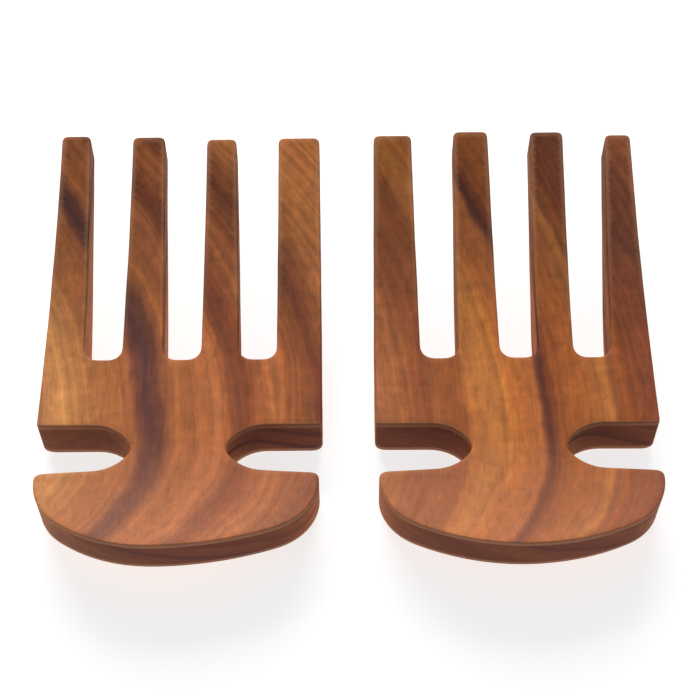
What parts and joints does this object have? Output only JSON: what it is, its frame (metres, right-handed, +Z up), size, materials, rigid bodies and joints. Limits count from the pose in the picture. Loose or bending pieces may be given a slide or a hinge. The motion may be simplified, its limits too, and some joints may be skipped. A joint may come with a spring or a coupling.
{
  "type": "salad hands",
  "caption": "Pair of tined wooden salad hands with finger notches and half-moon handles, for tossing and serving salad.",
  "frame": {"origin": "on the table, under the centre of the pair's bounding box, with both hands lying on the flat of their backs", "axes": "+X across the pair, from the left hand to the right; +Y towards the tine tips; +Z up, out of the scooped faces"},
  "size_m": [0.2224, 0.1736, 0.0347],
  "materials": {
    "acacia_left": "oiled satin",
    "acacia_right": "oiled satin"
  },
  "bodies": {
    "left_hand": {"left_salad_hand": "acacia_left"},
    "right_hand": {"right_salad_hand": "acacia_right"}
  },
  "joints": [
    {"name": "right_hand_lift", "type": "slide", "parent": "left_hand", "child": "right_hand", "axis": [0, 0, 1], "range_m": [0, 0.15]}
  ]
}
